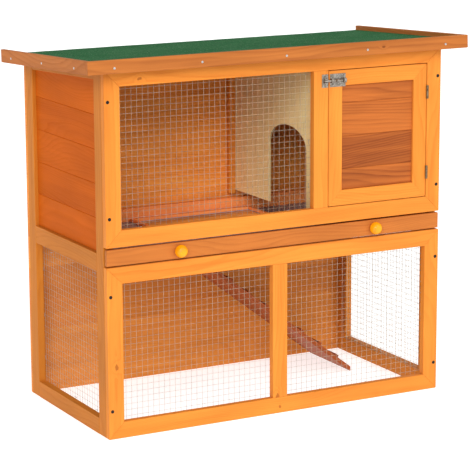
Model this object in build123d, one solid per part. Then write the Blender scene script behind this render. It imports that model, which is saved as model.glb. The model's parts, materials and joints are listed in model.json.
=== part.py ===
from build123d import *
import os
from math import atan2, cos, degrees, radians, tan

# Two-storey rabbit hutch. Millimetres, +Z up, the front faces -Y, +X is to the right.
# The origin is on the ground, under the middle of the roof.

# ---------------------------------------------------------------- driving dimensions
ROOF_LENGTH = 900.0
ROOF_DEPTH = 450.0
FRONT_HEIGHT = 792.0          # top of the front fascia
ROOF_DROP = 24.0              # the roof's rear edge is this much lower than its front edge
BODY_WIDTH = 804.0
BODY_DEPTH = 410.0
FRONT_OVERHANG = 30.0         # roof beyond the front panels

FRONT_THICK = 15.0            # front panels and door
SIDE_THICK = 16.0             # side panels
BACK_THICK = 10.0             # back boards
MEMBER = 35.0                 # width of every stile, post and rail
BOARD_PITCH = 71.0            # one tongue-and-groove board
WIDEST_BOARD = 90.0
BOARD_THICK = 8.0
GROOVE = 1.2                  # bevel at each board joint

LOWER_TOP = 363.0             # lower front panel, from the ground
UPPER_BOTTOM = 404.0          # upper front panel
UPPER_TOP = 768.0
DOOR_LEFT = 118.5
DOOR_RIGHT = 367.0
DOOR_GAP = 1.5                # around the door, 2 on the hinge side
HINGE_GAP = 2.0
DOOR_MEMBER = 33.0
DOOR_BOARD_RECESS = 5.0
DOOR_FIRST_BOARD = 44.5       # what shows of the lowest door board
LOWER_MID_X = 2.0             # centre of the lower mid stile

FELT_THICK = 2.0
FELT_BELOW_FASCIA = 10.0      # the fascias stand this proud of the felt
ROOF_BOARD_THICK = 9.0
FASCIA_HEIGHT = 28.0
FASCIA_THICK = 9.0

SIDE_MID_BOTTOM = 348.0
SIDE_MID_TOP = 386.0
SIDE_TOP_RAIL = 22.0

TRAY_FRONT_BOTTOM = 366.0
TRAY_FRONT_HEIGHT = 34.0
TRAY_FRONT_THICK = 9.0
TRAY_RECESS = 1.5             # tray front behind the faces of the front panels
TRAY_BOTTOM = 364.0
TRAY_RIM_TOP = 397.0
TRAY_BOARD = 9.0
TRAY_FRONT_INSET = 1.0        # from the front board's end to the side of the body
TRAY_SIDE_CLEARANCE = 2.0
TRAY_FLOOR_THICK = 1.0
HOLE_X = (-158.0, 132.0)      # the ramp's way through the tray
HOLE_Y = (0.0, 183.0)
HOLE_RIM = 8.0
HOLE_RIM_HIGH = 7.0
TRAY_FLOOR_UP = 2.0           # floor sheet above the lower edge of its boards
TRAY_REAR_GAP = 4.0
KNOB_X = 235.5
KNOB_RADIUS = 13.5
KNOB_REACH = 20.0
KNOB_NECK_RADIUS = 7.0
KNOB_BALL_CUT = 11.5          # from the ball's middle to its flattened front
KNOB_NECK = 5.0               # bare neck between the tray front and the ball

RUNNER_WIDE = 14.0
RUNNER_HIGH = 14.0

DIVIDER_X = 104.0
DIVIDER_THICK = 5.0
DIVIDER_BOTTOM = 414.0
DIVIDER_TOP_GAP = 4.0         # to the underside of the roof board
BATTEN = (16.0, 12.0)         # width and depth of the divider's batten on the back
BATTEN_Z = (406.0, 735.0)
ARCH_Y = -46.0
ARCH_HALF_WIDTH = 82.0
ARCH_SPRING = 550.0
ARCH_RISE = 48.0

RAMP_FOOT_X = 306.0
RAMP_TOP_X = -149.0
RAMP_TOP_Z = 350.0            # underside of the ramp at its top end
RAMP_THICK = 9.0
RAMP_Y = (14.0, 194.0)
CLEAT_COUNT = 9
CLEAT = (10.0, 5.0)           # along the ramp, and out of it
CLEAT_END_GAP = 3.0
CLEAT_FIRST = 0.8             # first cleat's place, in cleat spacings from the foot
RAMP_BAR = (18.0, 24.0)       # width and height
RAMP_BAR_GAP = 1.5            # under the tray

MESH_PITCH = 25.4             # every second wire of a 12.7 mesh
MESH_WIRE = 0.8
MESH_LAP = 12.0               # how far the mesh laps behind a frame
MESH_SIDE_GAP = 2.0           # from a front mesh to the side panels
MESH_ROOM = 0.7               # from a mesh to a bar or runner behind it

SCREW_HEAD_RADIUS = 3.6
SCREW_HEAD_PROUD = 0.8
SCREW_RADIUS = 2.0
SCREW_CLEARANCE = 0.1
SCREW_LENGTH = 30.0
SCREW_INSET = 8.0
SCREW_TIP_ROOM = 2.0          # of a screw's hole past its tip
SCREW_Z = (60.0, 302.0, 464.0, 703.0)
NAIL_RADIUS = 2.4
NAIL_PROUD = 0.6
NAIL_BELOW_TOP = 17.0
FRONT_NAIL_COUNT = 5
FRONT_NAIL_PITCH = 196.0
SIDE_NAIL_Y = (66.0, 230.0, 394.0)    # from the front edge of the roof

PIN_CLEARANCE = 0.08
OVERRUN = 1.0                 # how far a cut or a joined piece runs past a face
KNUCKLE_SLACK = 0.25          # at each end of a hinge knuckle
DOOR_KNUCKLE_ROOM = 0.35      # round a knuckle that turns past the other leaf
ROOF_KNUCKLE_ROOM = 0.5
PIN_HEAD = 1.2
DOOR_BARREL_RADIUS = 2.6
DOOR_BARREL_OFF_FRAME = 0.3
DOOR_PIN_RADIUS = 1.3
DOOR_HINGE_Z = (494.0, 670.0)
DOOR_HINGE_LENGTH = 26.0
LEAF_THICK = 0.8
DOOR_LEAF_DEEP = 11.0
DOOR_LEAF_SET_IN = 0.4
ROOF_BARREL_RADIUS = 3.2
ROOF_BARREL_BEHIND = 4.4      # from the back boards to the pin's axis
ROOF_BARREL_BELOW = 0.2       # from the roof board to the barrel
ROOF_WEB_GAP = 0.3            # from the roof board to a knuckle's web
ROOF_PIN_RADIUS = 1.6
ROOF_HINGE_X = (-260.0, 260.0)
ROOF_HINGE_LENGTH = 50.0
ROOF_LEAF_THICK = 1.4
ROOF_LEAF_LENGTH = 30.0
ROOF_LEAF_GAP = 0.1           # from the lid leaf to the roof board
BACK_TOP_GAP = 0.6            # from the back boards to the lid leaf
ROOF_KNUCKLES = 5

LATCH_Z = 711.0
LATCH_PLATE_THICK = 1.2
LATCH_PLATE_HIGH = 28.0
LATCH_PLATE_WIDE = 38.0
LATCH_EDGE_GAP = 2.0          # from the plate to the door's edge
BOLT_RADIUS = 2.5
BOLT_OFF_PLATE = 0.6
BOLT_PAST_DOOR = 12.0         # the bolt's tip, left of the door opening
GUIDE = (6.0, 9.0)            # a bolt guide's width and height
GUIDE_X = (1.0, 31.0)         # from the plate's left edge
GUIDE_WALL = 1.6
BOLT_KNOB_X = 12.0
BOLT_KNOB = (1.8, 9.0)        # radius and length of the stem
BOLT_KNOB_HEAD = (3.6, 3.0)
KEEPER_WIDE = 15.0
KEEPER_EDGE_GAP = 1.0         # from the keeper to the stile's edge
KEEPER_LUG = (3.0, 11.0)      # from the keeper's right edge
KEEPER_LUG_Z = (3.0, 5.0)     # from the bolt's axis

# ---------------------------------------------------------------- levels that follow
FRONT_Y = -ROOF_DEPTH / 2 + FRONT_OVERHANG
FRAME_BACK_Y = FRONT_Y + FRONT_THICK
REAR_Y = FRONT_Y + BODY_DEPTH
BACK_Y = REAR_Y - BACK_THICK
HALF = BODY_WIDTH / 2
INNER_X = HALF - SIDE_THICK
ROOF_ANGLE = degrees(atan2(ROOF_DROP, ROOF_DEPTH))
ROOF_UNDER = FELT_BELOW_FASCIA + FELT_THICK + ROOF_BOARD_THICK
TOP_GAP = 0.5                 # between the roof board and what it rests over
RAMP_ANGLE = degrees(atan2(RAMP_TOP_Z, RAMP_FOOT_X - RAMP_TOP_X))
BARREL_Y = FRONT_Y - DOOR_BARREL_RADIUS - DOOR_BARREL_OFF_FRAME
DOOR_HINGE_X = DOOR_RIGHT - HINGE_GAP / 2
ROOF_HINGE_Y = REAR_Y + ROOF_BARREL_BEHIND

nodes = {}


def roof_level(y, below):
    """Height of the plane that lies `below` the fascia tops, at depth y."""
    return FRONT_HEIGHT - (y + ROOF_DEPTH / 2) * tan(radians(ROOF_ANGLE)) - below


ROOF_HINGE_Z = roof_level(ROOF_HINGE_Y, ROOF_UNDER) - ROOF_BARREL_RADIUS - ROOF_BARREL_BELOW


def block(x, y, z):
    """A box from three (low, high) pairs."""
    size = [high - low for low, high in (x, y, z)]
    middle = [(high + low) / 2 for low, high in (x, y, z)]
    return Pos(*middle) * Box(*size)


def prism(points, direction, length):
    """A straight prism from a closed outline of 3-D points."""
    outline = make_face(Polyline(*points, close=True))
    return extrude(outline, amount=length, dir=direction)


def front_prism(outline, y):
    """An (x, z) outline pushed from y[0] to y[1]."""
    return prism([(px, y[0], pz) for px, pz in outline], (0, 1, 0), y[1] - y[0])


def side_prism(outline, x):
    """A (y, z) outline pushed from x[0] to x[1]."""
    return prism([(x[0], py, pz) for py, pz in outline], (1, 0, 0), x[1] - x[0])


def rod_x(x, y, z, radius):
    """A round rod along X."""
    return Pos((x[0] + x[1]) / 2, y, z) * Rot(0, 90, 0) * Cylinder(radius, x[1] - x[0])


def rod_y(x, y, z, radius):
    """A round rod along Y."""
    return Pos(x, (y[0] + y[1]) / 2, z) * Rot(90, 0, 0) * Cylinder(radius, y[1] - y[0])


def rod_z(x, y, z, radius):
    """A round rod along Z."""
    return Pos(x, y, (z[0] + z[1]) / 2) * Cylinder(radius, z[1] - z[0])


def keep(name, *solids):
    """Puts one sub-part's solids under its node name."""
    nodes[name] = solids[0] if len(solids) == 1 else Compound(children=list(solids))


def mitred_frame(prefix, x, z, width, y):
    """Two stiles and two rails, mitred at the corners, into nodes named from prefix."""
    (x0, x1), (z0, z1) = x, z
    outer = [(x0, z0), (x1, z0), (x1, z1), (x0, z1)]
    inner = [(x0 + width, z0 + width), (x1 - width, z0 + width),
             (x1 - width, z1 - width), (x0 + width, z1 - width)]
    for index, side in enumerate(("bottom_rail", "right_stile", "top_rail", "left_stile")):
        after = (index + 1) % 4
        outline = [outer[index], outer[after], inner[after], inner[index]]
        keep(f"{prefix}_{side}", front_prism(outline, y))


def board_profile(low, high, near, far):
    """Outline of one board in (across, up): bevelled on the near face at both joints."""
    step = GROOVE if far > near else -GROOVE
    return [(near, low + GROOVE), (near + step, low), (far, low),
            (far, high), (near + step, high), (near, high - GROOVE)]


def stacked_boards(length, low, high, near, far, along_x, first=BOARD_PITCH):
    """Boards stacked up from low to high, running along X or along Y over `length`.
    The first is `first` high, and the last takes what is left, up to WIDEST_BOARD."""
    boards = []
    z = low
    while z < high:
        top = high if high - z < WIDEST_BOARD else z + (BOARD_PITCH if boards else first)
        profile = board_profile(z, top, near, far)
        if along_x:
            points = [(length[0], across, up) for across, up in profile]
            direction = (1, 0, 0)
        else:
            points = [(across, length[0], up) for across, up in profile]
            direction = (0, 1, 0)
        boards.append(prism(points, direction, length[1] - length[0]))
        z = top
    return boards


def wire_mesh(across, up, place):
    """A flat sheet of square mesh; place turns its (u, v) corner points into 3-D points."""
    def square(u0, u1, v0, v1):
        corners = [place(u0, v0), place(u1, v0), place(u1, v1), place(u0, v1)]
        return Wire.make_polygon([Vector(*corner) for corner in corners], close=True)

    columns = int((across[1] - across[0] - MESH_WIRE) / MESH_PITCH)
    rows = int((up[1] - up[0] - MESH_WIRE) / MESH_PITCH)
    u_start = (across[0] + across[1] - columns * MESH_PITCH) / 2
    v_start = (up[0] + up[1] - rows * MESH_PITCH) / 2
    opening = MESH_PITCH - MESH_WIRE
    holes = []
    for column in range(columns):
        for row in range(rows):
            u = u_start + column * MESH_PITCH + MESH_WIRE / 2
            v = v_start + row * MESH_PITCH + MESH_WIRE / 2
            holes.append(square(u, u + opening, v, v + opening))
    edge = MESH_WIRE / 2
    outer = square(u_start - edge, u_start + columns * MESH_PITCH + edge,
                   v_start - edge, v_start + rows * MESH_PITCH + edge)
    return Face(outer, holes)


def drilled(name, points, y):
    """Cuts screw holes along Y through a kept node."""
    part = nodes[name]
    for x, z in points:
        part = part - rod_y(x, y, z, SCREW_RADIUS + SCREW_CLEARANCE)
    nodes[name] = part


# ---------------------------------------------------------------- side panels
def side_panel(prefix, sign):
    """One full-height side: posts, three rails, boards above and mesh below."""
    def span(outer, inner):
        return tuple(sorted((sign * outer, sign * inner)))

    thick = span(HALF, INNER_X)
    front_post = (FRAME_BACK_Y, FRAME_BACK_Y + MEMBER)
    rear_post = (BACK_Y - MEMBER, BACK_Y)
    under = ROOF_UNDER + TOP_GAP
    for name, (near, far) in (("front_post", front_post), ("rear_post", rear_post)):
        outline = [(near, 0), (far, 0), (far, roof_level(far, under)), (near, roof_level(near, under))]
        keep(f"{prefix}_{name}", side_prism(outline, thick))

    between = (front_post[1], rear_post[0])
    rail_low = under + SIDE_TOP_RAIL
    top_rail = [(y, roof_level(y, below)) for y, below in
                ((between[0], rail_low), (between[1], rail_low), (between[1], under), (between[0], under))]
    keep(f"{prefix}_top_rail", side_prism(top_rail, thick))
    keep(f"{prefix}_mid_rail", block(thick, between, (SIDE_MID_BOTTOM, SIDE_MID_TOP)))
    keep(f"{prefix}_bottom_rail", block(thick, between, (0, MEMBER)))

    board_top = roof_level(between[0], rail_low)
    boards = stacked_boards(between, SIDE_MID_TOP, board_top,
                            sign * (INNER_X + BOARD_THICK), sign * INNER_X, False)
    above_rail = [(y, roof_level(y, rail_low)) for y in between]
    above_rail += [(between[1], FRONT_HEIGHT), (between[0], FRONT_HEIGHT)]
    waste = side_prism(above_rail, thick)
    keep(f"{prefix}_boards", *[board - waste for board in boards])

    x_mesh = sign * INNER_X
    sheet = wire_mesh((front_post[1] - MESH_LAP, rear_post[0] + MESH_LAP),
                      (MEMBER - MESH_LAP, SIDE_MID_BOTTOM), lambda u, v: (x_mesh, u, v))
    keep(f"{prefix}_mesh", extrude(sheet, amount=MESH_WIRE, dir=(-sign, 0, 0)))


# ---------------------------------------------------------------- front panels
def front_panels():
    thick = (FRONT_Y, FRAME_BACK_Y)
    mitred_frame("upper_front", (-HALF, HALF), (UPPER_BOTTOM, UPPER_TOP), MEMBER, thick)
    keep("upper_front_mid_stile", block((DOOR_LEFT - MEMBER, DOOR_LEFT), thick,
                                        (UPPER_BOTTOM + MEMBER, UPPER_TOP - MEMBER)))
    mitred_frame("lower_front", (-HALF, HALF), (0, LOWER_TOP), MEMBER, thick)
    keep("lower_front_mid_stile", block((LOWER_MID_X - MEMBER / 2, LOWER_MID_X + MEMBER / 2), thick,
                                        (MEMBER, LOWER_TOP - MEMBER)))

    def behind(u, v):
        return (u, FRAME_BACK_Y, v)

    edge = INNER_X - MESH_SIDE_GAP
    upper = wire_mesh((-edge, DOOR_LEFT - MEMBER + MESH_LAP),
                      (UPPER_BOTTOM + MEMBER - MESH_LAP, UPPER_TOP - MEMBER + MESH_LAP), behind)
    lower = wire_mesh((-edge, edge), (MEMBER - MESH_LAP, LOWER_TOP - MEMBER + MESH_LAP), behind)
    keep("upper_front_mesh", extrude(upper, amount=MESH_WIRE, dir=(0, 1, 0)))
    keep("lower_front_mesh", extrude(lower, amount=MESH_WIRE, dir=(0, 1, 0)))


# ---------------------------------------------------------------- back
def back_panel():
    top = roof_level(REAR_Y, ROOF_UNDER) - ROOF_LEAF_THICK - BACK_TOP_GAP
    keep("back_boards", *stacked_boards((-HALF, HALF), 0, top, REAR_Y, BACK_Y, True))
    keep("back_divider_batten", block((DIVIDER_X - BATTEN[0], DIVIDER_X),
                                      (BACK_Y - BATTEN[1], BACK_Y), BATTEN_Z))


# ---------------------------------------------------------------- screws
def screws():
    """Black screws through the front panels and the back boards into the side posts."""
    x = HALF - SCREW_INSET
    heads = []
    for side, name in ((-1, "left"), (1, "right")):
        points = [(side * x, z) for z in SCREW_Z]
        front = (FRONT_Y - OVERRUN, FRONT_Y + SCREW_LENGTH + SCREW_TIP_ROOM)
        rear = (REAR_Y - SCREW_LENGTH - SCREW_TIP_ROOM, REAR_Y + OVERRUN)
        drilled(f"lower_front_{name}_stile", points[:2], front)
        drilled(f"upper_front_{name}_stile", points[2:], front)
        drilled(f"{name}_side_front_post", points, front)
        drilled(f"{name}_side_rear_post", points, rear)
        for px, pz in points:
            heads.append(rod_y(px, (FRONT_Y - SCREW_HEAD_PROUD, FRONT_Y), pz, SCREW_HEAD_RADIUS)
                         + rod_y(px, (FRONT_Y, FRONT_Y + SCREW_LENGTH), pz, SCREW_RADIUS))
            heads.append(rod_y(px, (REAR_Y, REAR_Y + SCREW_HEAD_PROUD), pz, SCREW_HEAD_RADIUS)
                         + rod_y(px, (REAR_Y - SCREW_LENGTH, REAR_Y), pz, SCREW_RADIUS))
    boards = []
    for board in nodes["back_boards"].children:
        box = board.bounding_box()
        for side in (-1, 1):
            for z in SCREW_Z:
                if box.min.Z < z < box.max.Z:
                    board = board - rod_y(side * x, (BACK_Y - OVERRUN, REAR_Y + OVERRUN), z,
                                          SCREW_RADIUS + SCREW_CLEARANCE)
        boards.append(board)
    keep("back_boards", *boards)
    keep("assembly_screws", *heads)


# ---------------------------------------------------------------- door
def door():
    x = (DOOR_LEFT + DOOR_GAP, DOOR_RIGHT - HINGE_GAP)
    z = (UPPER_BOTTOM + MEMBER + DOOR_GAP, UPPER_TOP - MEMBER - DOOR_GAP)
    mitred_frame("door", x, z, DOOR_MEMBER, (FRONT_Y, FRAME_BACK_Y))
    recess = FRONT_Y + DOOR_BOARD_RECESS
    boards = stacked_boards((x[0] + DOOR_MEMBER, x[1] - DOOR_MEMBER), z[0] + DOOR_MEMBER,
                            z[1] - DOOR_MEMBER, recess, recess + BOARD_THICK, True,
                            DOOR_FIRST_BOARD)
    keep("door_boards", *boards)


def butt_hinge_door():
    """Two small butt hinges: leaves in the gap, three knuckles on a pin in front of it."""
    frame_leaves, door_leaves, pins = [], [], []
    third = DOOR_HINGE_LENGTH / 3
    bore = DOOR_PIN_RADIUS + PIN_CLEARANCE
    for z in DOOR_HINGE_Z:
        low = z - DOOR_HINGE_LENGTH / 2
        for leaves, x_leaf, knuckles in (
                (frame_leaves, (DOOR_RIGHT - LEAF_THICK, DOOR_RIGHT), (0, 2)),
                (door_leaves, (DOOR_RIGHT - HINGE_GAP, DOOR_RIGHT - HINGE_GAP + LEAF_THICK), (1,))):
            plate = block(x_leaf, (FRONT_Y + DOOR_LEAF_SET_IN, FRONT_Y + DOOR_LEAF_DEEP),
                          (low, low + DOOR_HINGE_LENGTH))
            for knuckle in knuckles:
                span = (low + knuckle * third + KNUCKLE_SLACK, low + (knuckle + 1) * third - KNUCKLE_SLACK)
                web = block(x_leaf, (BARREL_Y, FRONT_Y + OVERRUN), span)
                plate = plate + web + rod_z(DOOR_HINGE_X, BARREL_Y, span, DOOR_BARREL_RADIUS)
            whole = (low - OVERRUN, low + DOOR_HINGE_LENGTH + OVERRUN)
            plate = plate - rod_z(DOOR_HINGE_X, BARREL_Y, whole, bore)
            other = [k for k in (0, 1, 2) if k not in knuckles]
            for knuckle in other:
                span = (low + knuckle * third - KNUCKLE_SLACK, low + (knuckle + 1) * third + KNUCKLE_SLACK)
                plate = plate - rod_z(DOOR_HINGE_X, BARREL_Y, span, DOOR_BARREL_RADIUS + DOOR_KNUCKLE_ROOM)
            leaves.append(plate)
        high = low + DOOR_HINGE_LENGTH
        pins.append(rod_z(DOOR_HINGE_X, BARREL_Y, (low, high), DOOR_PIN_RADIUS)
                    + rod_z(DOOR_HINGE_X, BARREL_Y, (low - PIN_HEAD, low), DOOR_BARREL_RADIUS)
                    + rod_z(DOOR_HINGE_X, BARREL_Y, (high, high + PIN_HEAD), DOOR_BARREL_RADIUS))
    keep("door_hinge_frame_leaves", *frame_leaves)
    keep("door_hinge_door_leaves", *door_leaves)
    keep("door_hinge_pins", *pins)


def latch():
    """Slide bolt on the door's top left corner and its open-fronted keeper on the mid stile."""
    z = (LATCH_Z - LATCH_PLATE_HIGH / 2, LATCH_Z + LATCH_PLATE_HIGH / 2)
    plate_y = (FRONT_Y - LATCH_PLATE_THICK, FRONT_Y)
    bolt_y = FRONT_Y - LATCH_PLATE_THICK - BOLT_RADIUS - BOLT_OFF_PLATE
    left = DOOR_LEFT + DOOR_GAP + LATCH_EDGE_GAP
    right = left + LATCH_PLATE_WIDE
    plate = block((left, right), plate_y, z)
    for offset in GUIDE_X:
        low, high = left + offset, left + offset + GUIDE[0]
        guide = block((low, high), (bolt_y - BOLT_RADIUS - GUIDE_WALL, plate_y[0]),
                      (LATCH_Z - GUIDE[1] / 2, LATCH_Z + GUIDE[1] / 2))
        bore = rod_x((low - OVERRUN, high + OVERRUN), bolt_y, LATCH_Z, BOLT_RADIUS + PIN_CLEARANCE)
        plate = plate + (guide - bore)
    keep("latch_plate", plate)

    stem_radius, stem_length = BOLT_KNOB
    head_radius, head_length = BOLT_KNOB_HEAD
    stem_y = (bolt_y - stem_length, bolt_y)
    bolt = rod_x((DOOR_LEFT - BOLT_PAST_DOOR, right), bolt_y, LATCH_Z, BOLT_RADIUS)
    bolt = bolt + rod_y(left + BOLT_KNOB_X, stem_y, LATCH_Z, stem_radius)
    bolt = bolt + rod_y(left + BOLT_KNOB_X, (stem_y[0] - head_length, stem_y[0]), LATCH_Z, head_radius)
    keep("latch_bolt", bolt)

    edge = DOOR_LEFT - KEEPER_EDGE_GAP
    keeper = block((edge - KEEPER_WIDE, edge), plate_y, z)
    near, far = KEEPER_LUG_Z
    for low, high in ((LATCH_Z + near, LATCH_Z + far), (LATCH_Z - far, LATCH_Z - near)):
        keeper = keeper + block((edge - KEEPER_LUG[1], edge - KEEPER_LUG[0]),
                                (bolt_y - BOLT_RADIUS, plate_y[1]), (low, high))
    keep("latch_keeper", keeper)


# ---------------------------------------------------------------- tray
def tray():
    wide = INNER_X - TRAY_SIDE_CLEARANCE
    front = (FRONT_Y + TRAY_RECESS, FRONT_Y + TRAY_RECESS + TRAY_FRONT_THICK)
    rear = (BACK_Y - TRAY_REAR_GAP - TRAY_BOARD, BACK_Y - TRAY_REAR_GAP)
    front_z = (TRAY_FRONT_BOTTOM, TRAY_FRONT_BOTTOM + TRAY_FRONT_HEIGHT)
    body_z = (TRAY_BOTTOM, TRAY_RIM_TOP)
    keep("tray_front", block((-HALF + TRAY_FRONT_INSET, HALF - TRAY_FRONT_INSET), front, front_z))
    sides = [block(span, (front[1], rear[0]), body_z)
             for span in ((-wide, -wide + TRAY_BOARD), (wide - TRAY_BOARD, wide))]
    keep("tray_side_boards", *sides)
    keep("tray_rear_board", block((-wide, wide), rear, body_z))

    floor_z = (TRAY_BOTTOM + TRAY_FLOOR_UP, TRAY_BOTTOM + TRAY_FLOOR_UP + TRAY_FLOOR_THICK)
    inside = wide - TRAY_BOARD
    floor = block((-inside, inside), (front[1], rear[0]), floor_z)
    hole = block(HOLE_X, HOLE_Y, (floor_z[0] - OVERRUN, floor_z[1] + OVERRUN))
    keep("tray_floor", floor - hole)

    rim_z = (floor_z[1], floor_z[1] + HOLE_RIM_HIGH)
    (x0, x1), (y0, y1) = HOLE_X, HOLE_Y
    rims = [block((x0 - HOLE_RIM, x1 + HOLE_RIM), (y0 - HOLE_RIM, y0), rim_z),
            block((x0 - HOLE_RIM, x1 + HOLE_RIM), (y1, y1 + HOLE_RIM), rim_z),
            block((x0 - HOLE_RIM, x0), (y0, y1), rim_z),
            block((x1, x1 + HOLE_RIM), (y0, y1), rim_z)]
    keep("tray_hole_rim", *rims)

    knobs = []
    for side in (-1, 1):
        x, z = side * KNOB_X, TRAY_FRONT_BOTTOM + TRAY_FRONT_HEIGHT / 2
        neck = rod_y(x, (front[0] - KNOB_NECK - OVERRUN, front[0]), z, KNOB_NECK_RADIUS)
        ball = Pos(x, front[0] - KNOB_REACH + KNOB_BALL_CUT, z) * Sphere(KNOB_RADIUS)
        slab = block((x - KNOB_RADIUS, x + KNOB_RADIUS), (front[0] - KNOB_REACH, front[0] - KNOB_NECK),
                     (z - KNOB_RADIUS, z + KNOB_RADIUS))
        knobs.append(neck + (ball & slab))
    keep("tray_knobs", *knobs)

    runner_z = (TRAY_BOTTOM - RUNNER_HIGH, TRAY_BOTTOM)
    runners = [block(span, (FRAME_BACK_Y + MESH_WIRE + MESH_ROOM, BACK_Y), runner_z)
               for span in ((-INNER_X, -INNER_X + RUNNER_WIDE), (INNER_X - RUNNER_WIDE, INNER_X))]
    keep("tray_runners", *runners)


# ---------------------------------------------------------------- inside
def divider():
    """Plywood wall with an arched doorway that is open at the bottom edge."""
    top = roof_level(BACK_Y, ROOF_UNDER) - DIVIDER_TOP_GAP
    wall = block((DIVIDER_X, DIVIDER_X + DIVIDER_THICK), (FRAME_BACK_Y, BACK_Y), (DIVIDER_BOTTOM, top))
    side = (DIVIDER_X - OVERRUN, DIVIDER_X + DIVIDER_THICK + OVERRUN)
    doorway = block(side, (ARCH_Y - ARCH_HALF_WIDTH, ARCH_Y + ARCH_HALF_WIDTH),
                    (DIVIDER_BOTTOM - OVERRUN, ARCH_SPRING))
    crown = Plane.YZ * Ellipse(ARCH_HALF_WIDTH, ARCH_RISE)
    crown = Pos(side[0], ARCH_Y, ARCH_SPRING) * extrude(crown, amount=side[1] - side[0])
    keep("divider", wall - doorway - crown)


def ramp():
    """A board from the ground up to a bar below the tray, with cleats on its upper face."""
    slope = tan(radians(RAMP_ANGLE))
    rise = RAMP_THICK / cos(radians(RAMP_ANGLE))

    def top_at(x):
        return (RAMP_FOOT_X - x) * slope + rise

    outline = [(RAMP_FOOT_X, 0), (RAMP_FOOT_X, rise), (RAMP_TOP_X, top_at(RAMP_TOP_X)),
               (RAMP_TOP_X, RAMP_TOP_Z)]
    keep("ramp_board", front_prism(outline, RAMP_Y))

    along = (RAMP_FOOT_X - RAMP_TOP_X) / (CLEAT_COUNT + 1)
    cleats = []
    for index in range(CLEAT_COUNT):
        x = RAMP_FOOT_X - along * (index + CLEAT_FIRST)
        cleat = Box(CLEAT[0], RAMP_Y[1] - RAMP_Y[0] - 2 * CLEAT_END_GAP, CLEAT[1])
        lie = Pos(x, sum(RAMP_Y) / 2, top_at(x)) * Rot(0, RAMP_ANGLE, 0)
        cleats.append(lie * Pos(0, 0, CLEAT[1] / 2) * cleat)
    keep("ramp_cleats", *cleats)

    bar_top = TRAY_BOTTOM - RAMP_BAR_GAP
    keep("ramp_bar", block((RAMP_TOP_X - RAMP_BAR[0], RAMP_TOP_X),
                           (FRAME_BACK_Y + MESH_WIRE + MESH_ROOM, BACK_Y), (bar_top - RAMP_BAR[1], bar_top)))


# ---------------------------------------------------------------- roof
def roof():
    """Board, felt and three fascias, built level and then tipped to the fall of the roof."""
    half = ROOF_LENGTH / 2
    inner = half - FASCIA_THICK
    front, rear = 0.0, ROOF_DEPTH / cos(radians(ROOF_ANGLE))
    felt_top = -FELT_BELOW_FASCIA
    board_top = felt_top - FELT_THICK
    tipped = Pos(0, -ROOF_DEPTH / 2, FRONT_HEIGHT) * Rot(-ROOF_ANGLE, 0, 0)

    def lay(name, *solids):
        keep(name, *[tipped * solid for solid in solids])

    lay("roof_board", block((-inner, inner), (front + FASCIA_THICK, rear),
                            (board_top - ROOF_BOARD_THICK, board_top)))
    lay("roof_felt", block((-inner, inner), (front + FASCIA_THICK, rear), (board_top, felt_top)))
    height = (-FASCIA_HEIGHT, 0)
    lay("roof_front_fascia", block((-half, half), (front, front + FASCIA_THICK), height))
    lay("roof_left_fascia", block((-half, -inner), (front + FASCIA_THICK, rear), height))
    lay("roof_right_fascia", block((inner, half), (front + FASCIA_THICK, rear), height))

    nails = []
    for index in range(FRONT_NAIL_COUNT):
        x = (index - (FRONT_NAIL_COUNT - 1) / 2) * FRONT_NAIL_PITCH
        nails.append(rod_y(x, (front - NAIL_PROUD, front), -NAIL_BELOW_TOP, NAIL_RADIUS))
    for side in (-1, 1):
        outer = tuple(sorted((side * half, side * (half + NAIL_PROUD))))
        for y in SIDE_NAIL_Y:
            nails.append(rod_x(outer, y, -NAIL_BELOW_TOP, NAIL_RADIUS))
    lay("fascia_nails", *nails)


def roof_hinges():
    """Two butt hinges: one leaf under the roof board, one down the back."""
    lid_leaves, back_leaves, pins = [], [], []
    pitch = ROOF_HINGE_LENGTH / ROOF_KNUCKLES
    barrel = (ROOF_HINGE_Y, ROOF_HINGE_Z)
    under_z = roof_level(ROOF_HINGE_Y, ROOF_UNDER)
    for centre in ROOF_HINGE_X:
        low = centre - ROOF_HINGE_LENGTH / 2
        whole = (low, low + ROOF_HINGE_LENGTH)
        lid = Pos(0, ROOF_HINGE_Y, under_z) * Rot(-ROOF_ANGLE, 0, 0) * block(
            whole, (-ROOF_LEAF_LENGTH, 0), (-ROOF_LEAF_THICK - ROOF_LEAF_GAP, -ROOF_LEAF_GAP))
        back = block(whole, (REAR_Y, REAR_Y + ROOF_LEAF_THICK),
                     (ROOF_HINGE_Z - ROOF_LEAF_LENGTH, ROOF_HINGE_Z))
        for index in range(ROOF_KNUCKLES):
            start, end = low + index * pitch, low + (index + 1) * pitch
            span = (start + KNUCKLE_SLACK, end - KNUCKLE_SLACK)
            knuckle = rod_x(span, *barrel, ROOF_BARREL_RADIUS)
            room = rod_x((start - KNUCKLE_SLACK, end + KNUCKLE_SLACK), *barrel,
                         ROOF_BARREL_RADIUS + ROOF_KNUCKLE_ROOM)
            if index % 2:
                web = block(span, (ROOF_HINGE_Y - OVERRUN, ROOF_HINGE_Y),
                            (ROOF_HINGE_Z, under_z - ROOF_WEB_GAP))
                lid = lid + knuckle + web
                back = back - room
            else:
                back = back + knuckle
                lid = lid - room
        ends = (low - OVERRUN, whole[1] + OVERRUN)
        bore = rod_x(ends, *barrel, ROOF_PIN_RADIUS + PIN_CLEARANCE)
        lid_leaves.append(lid - bore)
        back_leaves.append(back - bore)
        pins.append(rod_x(ends, *barrel, ROOF_PIN_RADIUS))
    keep("roof_hinge_lid_leaves", *lid_leaves)
    keep("roof_hinge_back_leaves", *back_leaves)
    keep("roof_hinge_pins", *pins)


side_panel("left_side", -1)
side_panel("right_side", 1)
front_panels()
back_panel()
screws()
door()
butt_hinge_door()
latch()
tray()
divider()
ramp()
roof()
roof_hinges()

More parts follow.
